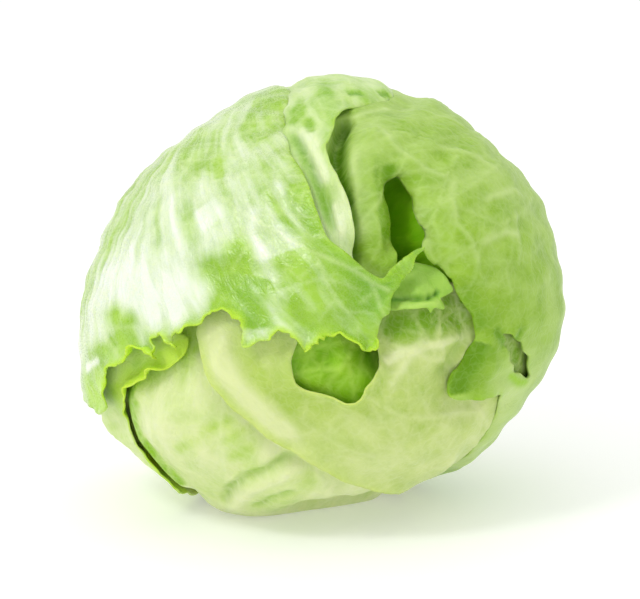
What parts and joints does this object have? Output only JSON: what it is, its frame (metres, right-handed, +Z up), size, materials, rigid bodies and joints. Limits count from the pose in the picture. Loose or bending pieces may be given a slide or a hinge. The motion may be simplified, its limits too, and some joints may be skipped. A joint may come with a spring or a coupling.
{
  "type": "iceberg lettuce",
  "caption": "Round iceberg lettuce head lying on its side, with wide wavy-edged wrapper leaves overlapping round a dense heart and a cut stem at the back.",
  "frame": {"origin": "centre of the head's bounding box on the floor it lies on", "axes": "+Z up; -Y is the front, where the open crown faces; +X is the right seen from the front, and the head is widest along X"},
  "size_m": [0.1699, 0.1654, 0.1513],
  "materials": {
    "leaf_left_wrapper": "waxy leaf skin",
    "leaf_top": "waxy leaf skin",
    "leaf_right_wrapper": "waxy leaf skin",
    "leaf_front": "waxy leaf skin",
    "leaf_outer_left": "waxy leaf skin",
    "leaf_lower_left": "waxy leaf skin",
    "leaf_curled_inner": "waxy leaf skin",
    "leaf_green_inner": "waxy leaf skin",
    "heart": "packed inner leaves",
    "stem": "moist cut stem"
  },
  "bodies": {
    "root": {"left_wrapper_leaf": "leaf_left_wrapper", "top_leaf": "leaf_top", "right_wrapper_leaf": "leaf_right_wrapper", "front_leaf": "leaf_front", "outer_left_leaf": "leaf_outer_left", "lower_left_leaf": "leaf_lower_left", "curled_inner_leaf": "leaf_curled_inner", "green_inner_leaf": "leaf_green_inner", "heart": "heart", "stem": "stem"}
  },
  "joints": []
}
